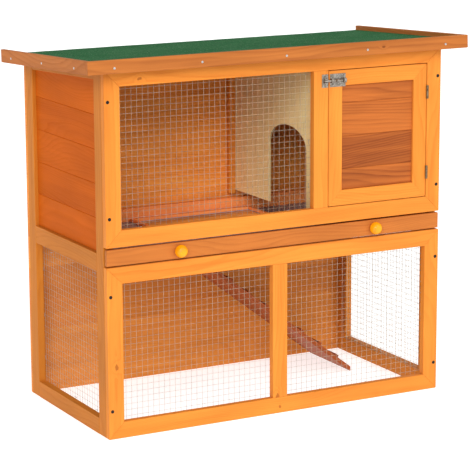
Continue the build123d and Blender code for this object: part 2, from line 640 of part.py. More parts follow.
os.makedirs("parts", exist_ok=True)
for node_name, shape in nodes.items():
    export_step(shape, f"parts/{node_name}.step")
print(len(nodes), "nodes")
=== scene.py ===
import json
import math
import random

import bmesh
import bpy
from mathutils import Matrix, Vector, noise


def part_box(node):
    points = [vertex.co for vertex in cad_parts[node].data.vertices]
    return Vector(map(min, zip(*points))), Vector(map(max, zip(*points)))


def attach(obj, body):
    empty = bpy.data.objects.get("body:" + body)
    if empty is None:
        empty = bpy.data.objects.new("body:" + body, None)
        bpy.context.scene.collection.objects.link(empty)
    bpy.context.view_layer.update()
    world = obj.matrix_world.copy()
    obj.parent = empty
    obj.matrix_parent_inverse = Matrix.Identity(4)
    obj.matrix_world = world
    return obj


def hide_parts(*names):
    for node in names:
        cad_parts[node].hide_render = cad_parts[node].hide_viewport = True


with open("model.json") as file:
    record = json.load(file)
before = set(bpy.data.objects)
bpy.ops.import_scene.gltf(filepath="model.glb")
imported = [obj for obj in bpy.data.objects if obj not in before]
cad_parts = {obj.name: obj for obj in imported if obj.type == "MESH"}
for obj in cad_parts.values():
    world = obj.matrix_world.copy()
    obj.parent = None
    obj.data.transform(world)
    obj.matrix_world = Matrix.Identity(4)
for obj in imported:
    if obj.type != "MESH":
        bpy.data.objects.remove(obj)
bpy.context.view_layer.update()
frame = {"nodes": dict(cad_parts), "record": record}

MM = 0.001
scene = bpy.context.scene
body_of = {node: body for body, members in frame["record"]["behaviour"]["bodies"].items()
           for node in members}
slot_of = {part["node"]: part["material_slot"] for part in frame["record"]["subparts"]}


# ---------------------------------------------------------------- shader node short hand
class Graph:
    """Adds nodes to one node tree and links them."""

    def __init__(self, tree):
        self.tree = tree

    def add(self, kind, inputs=None, **settings):
        node = self.tree.nodes.new(kind)
        for key, value in settings.items():
            setattr(node, key, value)
        for key, value in (inputs or {}).items():
            self.feed(node.inputs[key], value)
        return node

    def feed(self, socket, value):
        if isinstance(value, bpy.types.NodeSocket):
            self.tree.links.new(value, socket)
        else:
            socket.default_value = value

    def place(self):
        return self.add("ShaderNodeTexCoord").outputs["Object"]

    def math(self, operation, a, b=0.0, c=0.0):
        return self.add("ShaderNodeMath", {0: a, 1: b, 2: c}, operation=operation).outputs[0]

    def vector(self, operation, a, b=(0, 0, 0)):
        node = self.add("ShaderNodeVectorMath", {0: a, 1: b}, operation=operation)
        return node.outputs["Value" if operation == "LENGTH" else "Vector"]

    def spread(self, value, low, high, to_low=0.0, to_high=1.0, smooth=False):
        """Maps low..high to to_low..to_high, and holds the ends."""
        node = self.add("ShaderNodeMapRange", {"Value": value, "From Min": low, "From Max": high,
                                               "To Min": to_low, "To Max": to_high})
        node.interpolation_type = "SMOOTHSTEP" if smooth else "LINEAR"
        return node.outputs["Result"]

    def noise(self, place, scale, detail=2.0, roughness=0.5):
        node = self.add("ShaderNodeTexNoise", {"Vector": place, "Scale": scale, "Detail": detail,
                                               "Roughness": roughness})
        return node.outputs["Fac"]

    def stretched_noise(self, place, stretch, detail=2.0, roughness=0.5):
        """Noise with its own scale along each axis."""
        return self.noise(self.vector("MULTIPLY", place, stretch), 1.0, detail, roughness)

    def cells(self, place, scale, output="Color"):
        return self.add("ShaderNodeTexVoronoi", {"Vector": place, "Scale": scale}).outputs[output]

    def mix(self, factor, a, b, blend="MIX", clamp=False):
        node = self.add("ShaderNodeMix", data_type="RGBA", blend_type=blend, clamp_result=clamp)
        self.feed(node.inputs[0], factor)
        self.feed(node.inputs[6], a)
        self.feed(node.inputs[7], b)
        return node.outputs[2]

    def times(self, colour, factor, clamp=False):
        """A colour made lighter or darker."""
        return self.mix(1.0, colour, self.join(factor, factor, factor), "MULTIPLY", clamp)

    def split(self, vector):
        return self.add("ShaderNodeSeparateXYZ", {0: vector}).outputs

    def join(self, x, y, z):
        return self.add("ShaderNodeCombineXYZ", {0: x, 1: y, 2: z}).outputs[0]

    def bump(self, height, strength, distance):
        node = self.add("ShaderNodeBump", {"Strength": strength, "Distance": distance,
                                           "Height": height})
        return node.outputs["Normal"]


def rgb(r, g, b):
    """A colour from 0-255 display values."""
    def linear(v):
        v /= 255.0
        return v / 12.92 if v <= 0.04045 else ((v + 0.055) / 1.055) ** 2.4
    return (linear(r), linear(g), linear(b), 1.0)


def new_material(name):
    """A material with one principled surface, and the graph that its nodes are added to."""
    material = bpy.data.materials.new(name)
    material.use_nodes = True
    tree = material.node_tree
    tree.nodes.clear()
    graph = Graph(tree)
    surface = graph.add("ShaderNodeBsdfPrincipled")
    graph.add("ShaderNodeOutputMaterial", {"Surface": surface.outputs["BSDF"]})
    return material, graph, surface


# ---------------------------------------------------------------- wood
# Stretches are noise scales along the grain and the two ways across it, per metre.
HEART_WANDER = (1.6, 7.0, 7.0)
RING_WOBBLE = (9.0, 55.0, 55.0)
STREAKS = (2.2, 60.0, 60.0)
FIBRES = (45.0, 1500.0, 1500.0)
PATCHES = (5.0, 14.0, 14.0)
HEART_REACH = 0.045           # how far the heart wanders to each side, in m
WOBBLE_REACH = 0.003          # how far a ring strays, in m
LATEWOOD_START = 0.86         # where a ring's dark late wood peaks, as a share of the ring
FAINTEST_RING = 0.35


def wood_group():
    """Solid wood: growth rings about an axis along the grain, streaks and fibres.
    The place comes in with X along the grain, in metres, and the knots' pull on the rings in Bend."""
    tree = bpy.data.node_groups.new("solid_wood", "ShaderNodeTree")
    face = tree.interface
    face.new_socket("Place", in_out="INPUT", socket_type="NodeSocketVector")
    face.new_socket("Bend", in_out="INPUT", socket_type="NodeSocketFloat")
    face.new_socket("Ring Width", in_out="INPUT", socket_type="NodeSocketFloat")
    for name in ("Ring", "Streak", "Fibre", "Patch"):
        face.new_socket(name, in_out="OUTPUT", socket_type="NodeSocketFloat")
    g = Graph(tree)
    inside = g.add("NodeGroupInput")
    place = inside.outputs["Place"]
    wander = g.stretched_noise(place, HEART_WANDER, 1.0)
    wobble = g.stretched_noise(place, RING_WOBBLE)
    _, y, z = g.split(place)
    heart = g.spread(wander, 0.25, 0.75, -HEART_REACH, HEART_REACH)
    radius = g.vector("LENGTH", g.join(0.0, g.math("ADD", y, heart), g.math("MULTIPLY", z, 0.8)))
    radius = g.math("ADD", radius, inside.outputs["Bend"])
    radius = g.math("ADD", radius, g.spread(wobble, 0.0, 1.0, -WOBBLE_REACH, WOBBLE_REACH))
    rings = g.math("DIVIDE", radius, inside.outputs["Ring Width"])
    late = g.math("FRACT", rings)
    rise = g.math("POWER", g.spread(late, 0.0, LATEWOOD_START), 2.2)
    fall = g.spread(late, LATEWOOD_START, 1.0, 1.0, 0.0)
    ring = g.math("MINIMUM", rise, fall)
    chance = g.cells(g.join(g.math("FLOOR", rings), 0.0, 0.0), 1.0)
    ring = g.math("MULTIPLY", ring, g.spread(g.split(chance)[0], 0.0, 1.0, FAINTEST_RING, 1.0))
    g.add("NodeGroupOutput", {"Ring": ring,
                              "Streak": g.stretched_noise(place, STREAKS, 3.0, 0.6),
                              "Fibre": g.stretched_noise(place, FIBRES, 2.0, 0.7),
                              "Patch": g.stretched_noise(place, PATCHES)})
    return tree


SOLID_WOOD = wood_group()
# Early wood, late wood and knots of each stain.
STAINS = {
    "frame": (rgb(228, 141, 54), rgb(197, 102, 29), rgb(132, 64, 20)),
    "board": (rgb(236, 150, 66), rgb(200, 108, 38), rgb(120, 54, 18)),
    "door_board": (rgb(196, 109, 46), rgb(134, 66, 28), rgb(96, 40, 12)),
    "side_board": (rgb(201, 97, 20), rgb(170, 73, 11), rgb(112, 44, 10)),
    "side": (rgb(201, 122, 39), rgb(171, 90, 25), rgb(120, 54, 16)),
    "fascia": (rgb(187, 111, 50), rgb(138, 71, 30), rgb(92, 40, 12)),
    "tray": (rgb(196, 115, 50), rgb(150, 76, 30), rgb(96, 40, 14)),
    # The tray's inner boards: the tray stain painted much lighter, as painted light on boards that sit in
    # shade.
    "tray_inside": (rgb(255, 158, 86), rgb(240, 122, 60), rgb(110, 50, 20)),
    "under": (rgb(140, 80, 38), rgb(98, 50, 22), rgb(60, 26, 10)),
    "ramp": (rgb(170, 86, 42), rgb(106, 46, 22), rgb(74, 32, 14)),
}
# Frame axes: along the grain, then the two across it.
AXIS_ORDER = {"x": (0, 2, 1), "y": (1, 2, 0), "z": (2, 0, 1)}
# How much distance from a knot counts along the grain and through the wood: less makes it longer.
KNOT_ALONG, KNOT_THROUGH = 0.62, 0.12
KNOT_RAGGED = 0.0012
KNOT_STRENGTH = 0.6
BOARD_SHIFT = (9.0, 0.12, 0.08)         # most that one board's grain differs from the next, in m
FACE_MARGIN = 1.0 * MM


def knots_in(g, place, knots, grain, flat):
    """How far the knots push the rings outwards, and a mask of the knots."""
    pull, mask = 0.0, None
    stretch = [KNOT_ALONG if axis == grain else 1.0 for axis in "xyz"]
    stretch["xyz".index(flat)] = KNOT_THROUGH
    for *centre, radius in knots:
        reach = radius * MM
        from_centre = g.vector("SUBTRACT", place, tuple(c * MM for c in centre))
        distance = g.vector("LENGTH", g.vector("MULTIPLY", from_centre, tuple(stretch)))
        ragged = g.spread(g.noise(place, 260.0), 0.3, 0.7, -KNOT_RAGGED, KNOT_RAGGED)
        distance = g.math("ADD", distance, ragged)
        near = g.spread(distance, reach * 0.3, reach * 4.0, 1.0, 0.0, smooth=True)
        pull = g.math("MULTIPLY_ADD", near, reach * 2.6, pull)
        core = g.spread(distance, reach * 0.75, reach * 1.15, 1.0, 0.0, smooth=True)
        mask = core if mask is None else g.math("MAXIMUM", mask, core)
    return pull, mask


def grain_place(g, place, grain, tilt):
    """The place with X along the grain, which tilts down towards +X by tilt degrees."""
    axes = g.split(place)
    if not tilt:
        return g.join(*(axes[i] for i in AXIS_ORDER[grain]))
    slope = math.radians(tilt)
    along = g.math("SUBTRACT", g.math("MULTIPLY", axes[0], math.cos(slope)),
                   g.math("MULTIPLY", axes[2], math.sin(slope)))
    through = g.math("ADD", g.math("MULTIPLY", axes[0], math.sin(slope)),
                     g.math("MULTIPLY", axes[2], math.cos(slope)))
    return g.join(along, axes[1], through)


def painted_inner_light(g, place, low, axis, share, climbs):
    """A factor of painted light and shade on a wall's inner face, which climbs with height. share is
    how much of the climb it takes, and each climb is two pairs of height in mm and factor."""
    height = g.split(place)[2]
    climb = 1.0
    for (bottom, at_bottom), (top, at_top) in climbs:
        step = g.spread(height, bottom * MM, top * MM, at_bottom, at_top)
        climb = g.math("MULTIPLY", climb, step)
    face = low["xyz".index(axis)]
    inside = g.spread(g.split(place)["xyz".index(axis)], face + FACE_MARGIN, face, 0.0, share)
    return g.math("ADD", 1.0, g.math("MULTIPLY", g.math("SUBTRACT", climb, 1.0), inside))


def wood(node, tone, grain, boards=None, knots=(), flat="y", tilt=0.0, ring_width=5.5, contrast=0.6,
         vary=0.3, shine=0.12, painted_light=None):
    """A node's stained softwood. grain is the frame axis that it runs along; boards is (axis, start,
    pitch) in mm where the node holds several boards; knots are (x, y, z, radius) in mm, and go through
    along the flat axis; vary is how much the boards differ; the last argument holds the painted light
    and shade on the inner face."""
    light, dark, knot_colour = STAINS[tone]
    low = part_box(node)[0]
    draw = random.Random(node)
    along_shift, board_seed, _ = (draw.uniform(-4, 4) for _ in range(3))
    heart_side = draw.choice((-1, 1)) * draw.uniform(0.02, 0.07)
    heart_depth = draw.uniform(0.03, 0.09)
    material, g, surface = new_material(node)
    place = g.place()
    pull, knot_mask = knots_in(g, place, knots, grain, flat)
    local = g.vector("ADD", grain_place(g, place, grain, tilt), (along_shift, 0.0, 0.0))
    tone_shift = None
    if boards:
        axis, start, pitch = boards
        across = g.split(place)["xyz".index(axis)]
        count = g.math("DIVIDE", g.math("SUBTRACT", across, start * MM), pitch * MM)
        index = g.math("ADD", g.math("FLOOR", g.math("ADD", count, 0.001)), board_seed)
        chance = g.add("ShaderNodeTexWhiteNoise", {"W": index}, noise_dimensions="1D").outputs["Color"]
        shift = g.vector("MULTIPLY", g.vector("SUBTRACT", chance, (0.5, 0.5, 0.5)), BOARD_SHIFT)
        local = g.vector("ADD", local, shift)
        tone_shift = g.split(chance)[2]
    _, first, second = AXIS_ORDER[grain]
    heart = (0.0, low[first] + heart_side, low[second] - heart_depth)
    grown = g.add("ShaderNodeGroup", node_tree=SOLID_WOOD)
    g.feed(grown.inputs["Place"], g.vector("SUBTRACT", local, heart))
    g.feed(grown.inputs["Bend"], pull)
    g.feed(grown.inputs["Ring Width"], ring_width * MM)
    ring, streak, fibre, patch = grown.outputs

    amount = g.math("MULTIPLY", ring, 0.55 * contrast)
    amount = g.math("MULTIPLY_ADD", g.spread(streak, 0.35, 0.75), 0.6 * contrast, amount)
    amount = g.math("MULTIPLY_ADD", g.spread(fibre, 0.3, 0.8), 0.1, amount)
    if tone_shift is not None:
        amount = g.math("ADD", amount, g.spread(tone_shift, 0.0, 1.0, -vary * 0.5, vary))
    amount = g.math("MINIMUM", g.math("MAXIMUM", amount, 0.0), 1.0)
    colour = g.times(g.mix(amount, light, dark), g.spread(patch, 0.3, 0.7, 0.9, 1.07))
    # Painted light and shade: the inner face is made lighter or darker by height.
    if painted_light:
        colour = g.times(colour, painted_inner_light(g, place, low, **painted_light), clamp=True)
    if knot_mask is not None:
        colour = g.mix(g.math("MULTIPLY", knot_mask, KNOT_STRENGTH), colour, knot_colour)
    g.feed(surface.inputs["Base Color"], colour)
    rough = g.math("MULTIPLY_ADD", ring, 0.08, g.spread(fibre, 0.2, 0.8, 0.45, 0.6))
    g.feed(surface.inputs["Roughness"], rough)
    height = g.math("MULTIPLY_ADD", fibre, 0.6, g.math("MULTIPLY", ring, -0.5))
    g.feed(surface.inputs["Normal"], g.bump(height, 0.35, 0.5 * MM))
    surface.inputs["Specular IOR Level"].default_value = shine
    return material


# ---------------------------------------------------------------- other materials
def felt_material():
    """Green mineral felt: crushed granules pressed in bitumen."""
    granules = 620.0
    material, g, surface = new_material("green_mineral_felt")
    place = g.place()
    grain = g.split(g.cells(place, granules))[0]
    broad = g.noise(place, 9.0, 4.0, 0.6)
    middle = g.noise(place, 75.0, 3.0, 0.7)
    colour = g.mix(g.spread(grain, 0.0, 1.0), rgb(10, 68, 30), rgb(38, 116, 62))
    colour = g.mix(g.spread(middle, 0.35, 0.7, 0.0, 0.65), colour, rgb(22, 82, 42))
    colour = g.mix(g.spread(broad, 0.35, 0.7, 0.0, 0.5), colour, rgb(60, 112, 70))
    colour = g.mix(g.spread(grain, 0.93, 0.97, 0.0, 0.7), colour, rgb(120, 152, 120))
    g.feed(surface.inputs["Base Color"], colour)
    g.feed(surface.inputs["Roughness"], g.spread(grain, 0.0, 1.0, 0.82, 0.97))
    surface.inputs["Specular IOR Level"].default_value = 0.12
    far = g.cells(place, granules, "Distance")
    height = g.math("MULTIPLY_ADD", middle, 1.5, g.math("MULTIPLY", far, -0.6))
    g.feed(surface.inputs["Normal"], g.bump(height, 0.9, 0.9 * MM))
    return material


def metal(name, light, dark, rough, scale, metallic=1.0, spangle=0.0):
    """Bare or plated steel with fine wear, and crystal facets where spangle is set. scale and
    spangle are per metre."""
    material, g, surface = new_material(name)
    place = g.place()
    fine = g.noise(place, scale * 14.0, 3.0, 0.6)
    amount = g.spread(g.noise(place, scale, 4.0, 0.65), 0.3, 0.72)
    if spangle:
        facet = g.split(g.cells(place, spangle))[1]
        amount = g.math("MULTIPLY_ADD", facet, 0.55, g.math("MULTIPLY", amount, 0.45))
    g.feed(surface.inputs["Base Color"], g.mix(amount, dark, light))
    g.feed(surface.inputs["Roughness"], g.spread(fine, 0.2, 0.8, rough - 0.07, rough + 0.12))
    g.feed(surface.inputs["Normal"], g.bump(fine, 0.15, 0.2 * MM))
    surface.inputs["Metallic"].default_value = metallic
    return material


def lacquer():
    """Yellow lacquered wooden knobs."""
    material, g, surface = new_material("yellow_lacquer")
    place = g.place()
    cloud = g.noise(place, 60.0, 3.0)
    streak = g.stretched_noise(place, (400.0, 60.0, 400.0))
    colour = g.mix(g.spread(cloud, 0.3, 0.7), rgb(234, 146, 2), rgb(246, 166, 4))
    colour = g.mix(g.spread(streak, 0.5, 0.8, 0.0, 0.3), colour, rgb(216, 122, 2))
    g.feed(surface.inputs["Base Color"], colour)
    g.feed(surface.inputs["Roughness"], g.spread(cloud, 0.3, 0.7, 0.18, 0.28))
    g.feed(surface.inputs["Normal"], g.bump(cloud, 0.08, 0.3 * MM))
    surface.inputs["Coat Weight"].default_value = 0.12
    surface.inputs["Specular IOR Level"].default_value = 0.3
    surface.inputs["Coat Roughness"].default_value = 0.08
    return material


def plywood():
    """Bare three-ply: pale face veneers with upright grain and a darker crossed core."""
    lo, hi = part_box("divider")
    material, g, surface = new_material("beige_plywood")
    place = g.place()
    broad = g.stretched_noise(place, (30.0, 22.0, 2.0), 4.0, 0.6)
    fibre = g.stretched_noise(place, (400.0, 900.0, 30.0), 2.0, 0.7)
    pores = g.stretched_noise(place, (200.0, 420.0, 16.0), 1.0)
    colour = g.mix(g.spread(broad, 0.3, 0.72), rgb(255, 234, 170), rgb(252, 216, 148))
    colour = g.mix(g.spread(fibre, 0.45, 0.85, 0.0, 0.35), colour, rgb(150, 104, 62))
    colour = g.mix(g.spread(pores, 0.66, 0.74, 0.0, 0.5), colour, rgb(126, 84, 48))
    ply = (hi.x - lo.x) / 3
    from_middle = g.math("ABSOLUTE", g.math("SUBTRACT", g.split(place)[0], (lo.x + hi.x) / 2))
    core = g.spread(from_middle, ply * 0.46, ply * 0.54, 1.0, 0.0)
    colour = g.mix(g.math("MULTIPLY", core, 0.75), colour, rgb(140, 96, 58))
    g.feed(surface.inputs["Base Color"], colour)
    g.feed(surface.inputs["Roughness"], g.spread(fibre, 0.2, 0.8, 0.62, 0.78))
    g.feed(surface.inputs["Normal"], g.bump(fibre, 0.3, 0.4 * MM))
    return material


# ---------------------------------------------------------------- mesh builders
def new_piece(name, mesh_data, body, material, sharp_angle=None, replaced=()):
    """Links a mesh built in the frame's place, parents it to its body and hides the nodes it replaces.
    Edges sharper than sharp_angle degrees stay crisp; with none given, every face is flat."""
    piece = bpy.data.objects.new(name, mesh_data)
    scene.collection.objects.link(piece)
    mesh_data.materials.append(material)
    if sharp_angle is not None:
        mesh_data.polygons.foreach_set("use_smooth", [True] * len(mesh_data.polygons))
        mesh_data.update()
        mesh_data.set_sharp_from_angle(angle=math.radians(sharp_angle))
    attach(piece, body)
    if replaced:
        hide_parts(*replaced)
    return piece


def mesh_from(name, verts, faces):
    data = bpy.data.meshes.new(name)
    data.from_pydata(verts, [], faces)
    data.validate()
    data.update()
    return data


def mesh_of(name, bm):
    """A mesh from a finished bmesh."""
    data = bpy.data.meshes.new(name)
    bm.to_mesh(data)
    bm.free()
    return data


TUBE_SIDES = 6


def tube(verts, faces, path, radius):
    """Appends a closed round tube along a path of points."""
    start = len(verts)
    ring = range(TUBE_SIDES)
    side_way = None
    for i, p in enumerate(path):
        ahead = (path[min(i + 1, len(path) - 1)] - path[max(i - 1, 0)]).normalized()
        if side_way is None:
            side_way = ahead.orthogonal().normalized()
        side_way = (side_way - ahead * side_way.dot(ahead)).normalized()
        up_way = ahead.cross(side_way)
        for k in ring:
            turn = 2 * math.pi * k / TUBE_SIDES
            verts.append(p + (side_way * math.cos(turn) + up_way * math.sin(turn)) * radius)
    for i in range(len(path) - 1):
        a, b = start + i * TUBE_SIDES, start + (i + 1) * TUBE_SIDES
        for k in ring:
            after = (k + 1) % TUBE_SIDES
            faces.append((a + k, a + after, b + after, b + k))
    end = start + (len(path) - 1) * TUBE_SIDES
    faces.append(tuple(start + k for k in reversed(ring)))
    faces.append(tuple(end + k for k in ring))


# ---------------------------------------------------------------- welded mesh
WIRE_PITCH = 12.7 * MM
WIRE_RADIUS = 0.3 * MM
WIRE_WAVER = 0.22 * MM        # how far a wire strays from true
WIRE_TIP = 2.0 * MM           # an upright wire's end past the last cross wire
CROSS_TIP = 0.8 * MM
CROSS_WIRE_OFF = 2.75 * WIRE_RADIUS     # from the mesh's face to a cross wire's axis
SQUARES_PER_BEND = 3
STAPLE_PITCH = 110.0 * MM
STAPLE_SCATTER = 5.0 * MM
STAPLE_INSET = 5.0 * MM
STAPLE_HALF_WIDTH = 4.2 * MM
STAPLE_LEG = 2.2 * MM
STAPLE_CROWN = 4.4 * WIRE_RADIUS
STAPLE_RADIUS = 0.45 * MM
STAPLE_LEAN = 0.35            # most, in radians


class Sheet:
    """The plane of one CAD mesh sheet: u runs level, v upwards, w inwards from its outer face."""

    def __init__(self, node):
        self.lo, self.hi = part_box(node)
        faces_front = self.hi.x - self.lo.x > self.hi.y - self.lo.y
        self.run, self.normal = (0, 1) if faces_front else (1, 0)
        self.inward = 1.0 if faces_front or self.lo.x < 0 else -1.0
        self.face = (self.lo if self.inward > 0 else self.hi)[self.normal]
        self.u = (self.lo[self.run], self.hi[self.run])
        self.v = (self.lo.z, self.hi.z)

    def at(self, u, v, w):
        point = Vector((0, 0, v))
        point[self.run] = u
        point[self.normal] = self.face + self.inward * w
        return point


def wires(sheet, draw):
    """Two layers of round wire, each a little out of true."""
    verts, faces = [], []
    columns = round((sheet.u[1] - sheet.u[0]) / WIRE_PITCH)
    rows = round((sheet.v[1] - sheet.v[0]) / WIRE_PITCH)
    width, height = columns * WIRE_PITCH, rows * WIRE_PITCH
    u0 = (sum(sheet.u) - width) / 2
    v0 = (sum(sheet.v) - height) / 2
    bends = max(2, rows // SQUARES_PER_BEND)
    for i in range(columns + 1):
        u = u0 + i * WIRE_PITCH
        tube(verts, faces, [sheet.at(u + draw.uniform(-WIRE_WAVER, WIRE_WAVER),
                                     v0 - WIRE_TIP + (height + 2 * WIRE_TIP) * k / bends, WIRE_RADIUS)
                            for k in range(bends + 1)], WIRE_RADIUS)
    bends = max(2, columns // SQUARES_PER_BEND)
    for j in range(rows + 1):
        v = v0 + j * WIRE_PITCH
        tube(verts, faces, [sheet.at(u0 - CROSS_TIP + (width + 2 * CROSS_TIP) * k / bends,
                                     v + draw.uniform(-WIRE_WAVER, WIRE_WAVER), CROSS_WIRE_OFF)
                            for k in range(bends + 1)], WIRE_RADIUS)
    return verts, faces


def staples(sheet, draw):
    """Wire staples along the four edges of a sheet."""
    spots = []
    for along, across, upright in ((sheet.u, sheet.v, False), (sheet.v, sheet.u, True)):
        low, high = along
        count = max(2, round((high - low) / STAPLE_PITCH))
        for i in range(count):
            middle = low + (high - low) * (i + 0.5) / count
            middle += draw.uniform(-STAPLE_SCATTER, STAPLE_SCATTER)
            for edge in (across[0] + STAPLE_INSET, across[1] - STAPLE_INSET):
                spots.append((edge, middle, True) if upright else (middle, edge, False))
    verts, faces = [], []
    for u, v, upright in spots:
        lean = draw.uniform(-STAPLE_LEAN, STAPLE_LEAN)
        across, along = math.sin(lean), math.cos(lean)
        du, dv = (across, along) if upright else (along, across)
        shape = [(-1, -STAPLE_LEG), (-1, STAPLE_CROWN * 0.7), (-0.8, STAPLE_CROWN),
                 (0.8, STAPLE_CROWN), (1, STAPLE_CROWN * 0.7), (1, -STAPLE_LEG)]
        path = [sheet.at(u + du * STAPLE_HALF_WIDTH * t, v + dv * STAPLE_HALF_WIDTH * t, w)
                for t, w in shape]
        tube(verts, faces, path, STAPLE_RADIUS)
    return verts, faces


def welded_mesh(node, wire_material, staple_material):
    """Half-inch welded mesh and the staples that hold it, in place of the CAD's flat sheet."""
    sheet = Sheet(node)
    draw = random.Random(node)
    for suffix, made, material, replaced in (("_wires", wires(sheet, draw), wire_material, (node,)),
                                             ("_staples", staples(sheet, draw), staple_material, ())):
        name = node + suffix
        new_piece(name, mesh_from(name, *made), "hutch", material, 60, replaced)


# ---------------------------------------------------------------- screw heads
HEAD_PROFILE = ((1.0, -0.02), (1.0, 0.35), (0.93, 0.62), (0.78, 0.85), (0.5, 0.97), (0.25, 1.0))
HEAD_SEGMENTS = 28
RECESS_ARM, RECESS_WIDE = 0.62, 0.13    # of the head's radius
RECESS_TAPER = 0.6
RECESS_FLOOR, RECESS_TOP = 0.15, 1.4    # of the head's height


def bridge(bm, low, high):
    """Faces between two loops of vertices."""
    for k in range(len(low)):
        after = (k + 1) % len(low)
        bm.faces.new((low[k], low[after], high[after], high[k]))


def dome(radius, height):
    bm = bmesh.new()
    loops = []
    for r, h in HEAD_PROFILE:
        turns = [2 * math.pi * k / HEAD_SEGMENTS for k in range(HEAD_SEGMENTS)]
        loops.append([bm.verts.new((radius * r * math.cos(t), radius * r * math.sin(t), height * h))
                      for t in turns])
    for low, high in zip(loops, loops[1:]):
        bridge(bm, low, high)
    bm.faces.new(loops[-1])
    bm.faces.new(list(reversed(loops[0])))
    return mesh_of("screw_head", bm)


def cross_cutter(radius, height):
    arm, wide = radius * RECESS_ARM, radius * RECESS_WIDE
    outline = []
    for quarter in range(4):
        c, s = ((1, 0), (0, 1), (-1, 0), (0, -1))[quarter]
        outline += [(x * c - y * s, x * s + y * c) for x, y in ((arm, -wide), (arm, wide), (wide, wide))]
    bm = bmesh.new()
    bottom = [bm.verts.new((x * RECESS_TAPER, y * RECESS_TAPER, height * RECESS_FLOOR))
              for x, y in outline]
    top = [bm.verts.new((x, y, height * RECESS_TOP)) for x, y in outline]
    bm.faces.new(list(reversed(bottom)))
    bm.faces.new(top)
    bridge(bm, bottom, top)
    return mesh_of("recess", bm)


def screw_head(radius, height):
    """A domed head on +Z with its flat underside at z 0 and a cross recess in it, sizes in mm."""
    head, tool = (bpy.data.objects.new(data.name, data)
                  for data in (make(radius * MM, height * MM) for make in (dome, cross_cutter)))
    for o in (head, tool):
        scene.collection.objects.link(o)
    cut = head.modifiers.new("recess", "BOOLEAN")
    cut.operation, cut.object, cut.solver = "DIFFERENCE", tool, "EXACT"
    bpy.context.view_layer.update()
    done = bpy.data.meshes.new_from_object(head.evaluated_get(bpy.context.evaluated_depsgraph_get()))
    for o in (head, tool):
        bpy.data.objects.remove(o)
    return done


def place_heads(name, head, spots, body, material, replaced=()):
    """Copies of one head at (point, direction, turn) as one piece."""
    bm = bmesh.new()
    for point, direction, turn in spots:
        before = len(bm.verts)
        bm.from_mesh(head)
        bm.verts.ensure_lookup_table()
        turned = Vector(direction).to_track_quat("Z", "Y").to_matrix().to_4x4()
        turned = Matrix.Translation(point) @ turned @ Matrix.Rotation(turn, 4, "Z")
        bmesh.ops.transform(bm, matrix=turned, verts=bm.verts[before:])
    new_piece(name, mesh_of(name, bm), body, material, 40, replaced)


# ---------------------------------------------------------------- roof felt
FELT_COLUMNS, FELT_ROWS = 180, 90
FELT_THICK = 2.0 * MM
FELT_SINK = 0.35 * MM         # of the waves' middle below the CAD's face
FELT_FLAT_ROWS = 6            # over which the waves fade to the edges
BROAD_WAVE, FINE_WAVE = (7.0, 0.4 * MM, 1.5), (31.0, 0.2 * MM, 4.5)     # scale, height and seed


def felt_sheet(material):
    """The felt with the slight waviness of a laid sheet, in place of the CAD's flat slab."""
    lo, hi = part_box("roof_felt")
    rear_top = max(v.co.z for v in frame["nodes"]["roof_felt"].data.vertices if v.co.y > hi.y - 1.5 * MM)
    verts, faces = [], []
    for under in (False, True):
        for j in range(FELT_ROWS + 1):
            y = lo.y + (hi.y - lo.y) * j / FELT_ROWS
            level = hi.z + (rear_top - hi.z) * j / FELT_ROWS
            for i in range(FELT_COLUMNS + 1):
                x = lo.x + (hi.x - lo.x) * i / FELT_COLUMNS
                wave = sum(noise.noise(Vector((x * scale, y * scale, seed))) * high
                           for scale, high, seed in (BROAD_WAVE, FINE_WAVE))
                fade = min(1.0, min(i, FELT_COLUMNS - i, j) / FELT_FLAT_ROWS)
                verts.append((x, y, level - FELT_THICK if under else level + (wave - FELT_SINK) * fade))
    stride = FELT_COLUMNS + 1
    count = stride * (FELT_ROWS + 1)
    for j in range(FELT_ROWS):
        for i in range(FELT_COLUMNS):
            a = j * stride + i
            b = a + stride
            faces.append((a, a + 1, b + 1, b))
            faces.append((count + a, count + b, count + b + 1, count + a + 1))
    rim = list(range(stride))
    rim += [(j + 1) * stride - 1 for j in range(1, FELT_ROWS + 1)]
    rim += [FELT_ROWS * stride + i for i in reversed(range(FELT_COLUMNS))]
    rim += [j * stride for j in reversed(range(1, FELT_ROWS))]
    for a, b in zip(rim, rim[1:] + rim[:1]):
        faces.append((b, a, count + a, count + b))
    new_piece("roof_felt_sheet", mesh_from("roof_felt_sheet", verts, faces), "roof_lid",
              material, 50, ("roof_felt",))


